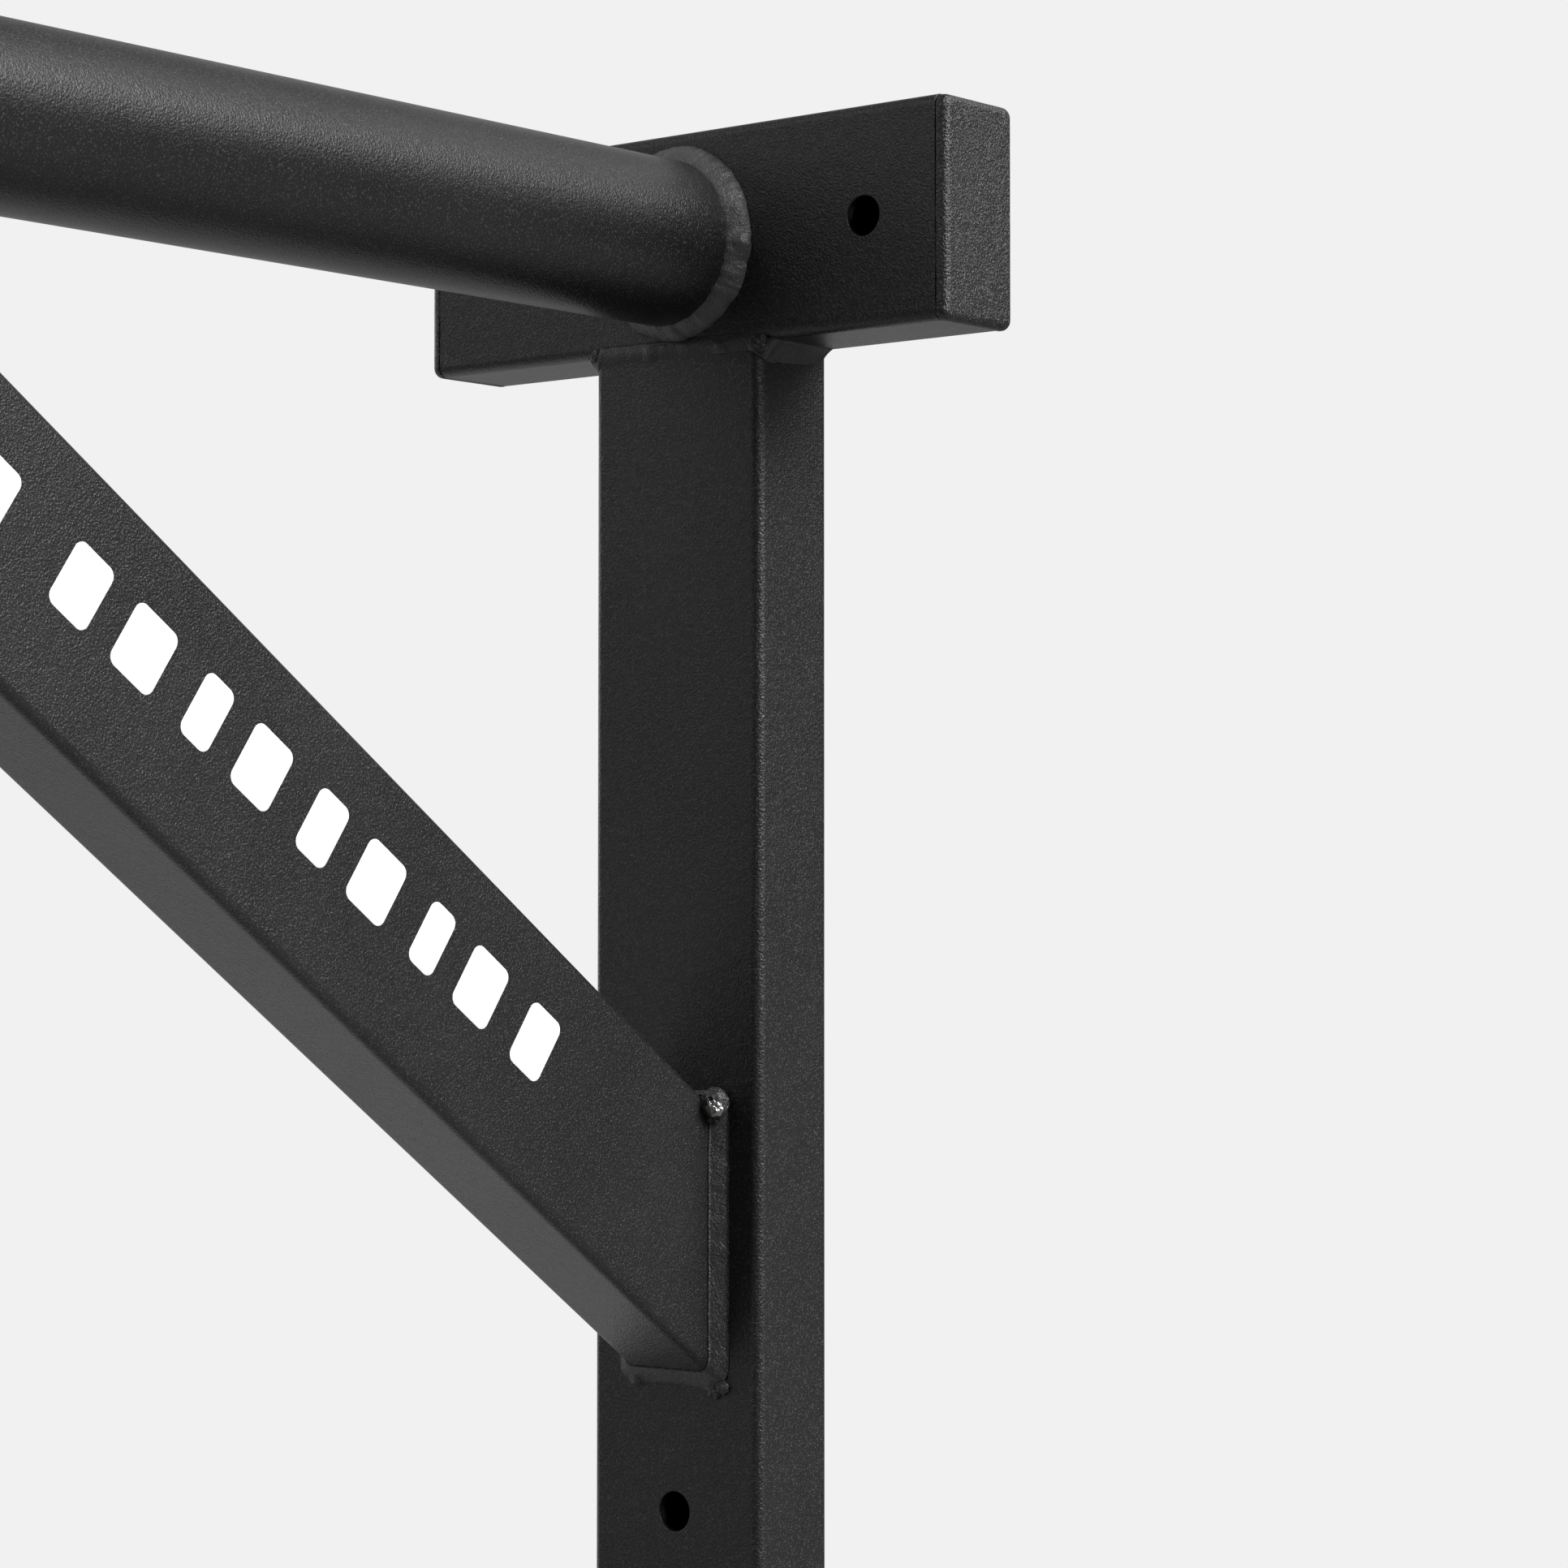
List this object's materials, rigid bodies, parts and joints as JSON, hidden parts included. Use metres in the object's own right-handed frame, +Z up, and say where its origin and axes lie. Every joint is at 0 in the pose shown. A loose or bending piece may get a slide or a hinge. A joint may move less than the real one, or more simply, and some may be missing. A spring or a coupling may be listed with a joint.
{
  "type": "wall-mounted pull up bar",
  "caption": "Wall-mounted pull up bar: a bent round tube on welded T-shaped wall brackets with diagonal braces, matt black powder coat.",
  "frame": {"origin": "on the wall plane, midway between the two brackets, at the height of the bar's axis", "axes": "+X to the right of someone facing the wall, along the gripping bar; +Y into the wall; +Z up"},
  "size_m": [1.156, 0.579, 0.343],
  "materials": {
    "powder_coat": "fine-textured matt black powder coat on steel tube",
    "coated_weld": "weld bead under the same black powder coat, smoother than the tubes",
    "white_print": "thin white print on the braces, as plain blocks"
  },
  "bodies": {
    "root": {"pull_up_bar": "powder_coat", "left_crosspiece": "powder_coat", "left_upright": "powder_coat", "left_brace": "powder_coat", "left_crosspiece_end_plate_left": "powder_coat", "left_crosspiece_end_plate_right": "powder_coat", "left_upright_end_plate": "powder_coat", "left_bar_weld": "coated_weld", "left_upright_weld": "coated_weld", "left_brace_foot_weld": "coated_weld", "left_brace_top_weld": "coated_weld", "right_crosspiece": "powder_coat", "right_upright": "powder_coat", "right_brace": "powder_coat", "right_crosspiece_end_plate_left": "powder_coat", "right_crosspiece_end_plate_right": "powder_coat", "right_upright_end_plate": "powder_coat", "right_bar_weld": "coated_weld", "right_upright_weld": "coated_weld", "right_brace_foot_weld": "coated_weld", "right_brace_top_weld": "coated_weld"}
  },
  "joints": []
}
